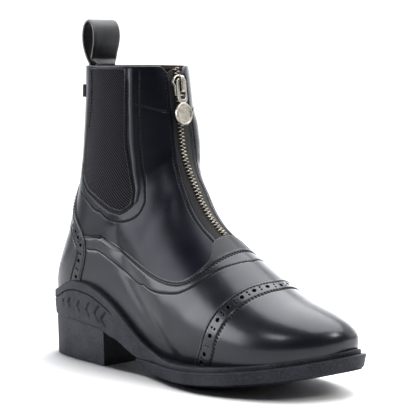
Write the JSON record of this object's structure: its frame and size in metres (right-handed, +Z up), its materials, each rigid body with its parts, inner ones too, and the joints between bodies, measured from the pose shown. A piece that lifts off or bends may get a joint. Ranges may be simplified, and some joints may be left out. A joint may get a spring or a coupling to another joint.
{
  "type": "paddock boot",
  "caption": "Right ankle riding boot with a front zip, elastic side gores, stitched toe cap and counter, a back pull loop, and a moulded sole with a low block heel.",
  "frame": {"origin": "centre of the heel's foot, on the floor", "axes": "+X to the toe, +Y to the inner (medial) side of this right boot, +Z up"},
  "size_m": [0.2706, 0.1002, 0.2442],
  "materials": {
    "upper_leather": "smooth black leather with a soft polish",
    "overlay_leather": "polished black leather, a little glossier than the quarters",
    "gore_elastic": "matte twill-faced elastic, charcoal",
    "insole_lining": "dark maroon-brown lining leather",
    "sole_rubber": "matte moulded charcoal rubber",
    "zip_tape": "woven black zip tape",
    "zip_metal": "antique nickel, worn bright on the edges",
    "loop_leather": "black strap leather, satin"
  },
  "bodies": {
    "boot": {"upper": "upper_leather", "toe_cap": "overlay_leather", "counter": "overlay_leather", "gore_outer": "gore_elastic", "gore_inner": "gore_elastic", "insole": "insole_lining", "sole_cup": "sole_rubber", "heel": "sole_rubber", "outsole": "sole_rubber", "zip_tape_outer": "zip_tape", "zip_tape_inner": "zip_tape", "zip_chain": "zip_metal", "zip_slider": "zip_metal", "pull_loop": "loop_leather", "back_keeper": "loop_leather"},
    "pull": {"zip_pull": "zip_metal"}
  },
  "joints": [
    {"name": "pull_swing", "type": "hinge", "parent": "boot", "child": "pull", "pos_m": [0.08156, 0, 0.2026], "axis": [0, -1, 0], "range_deg": [0, 150]}
  ]
}
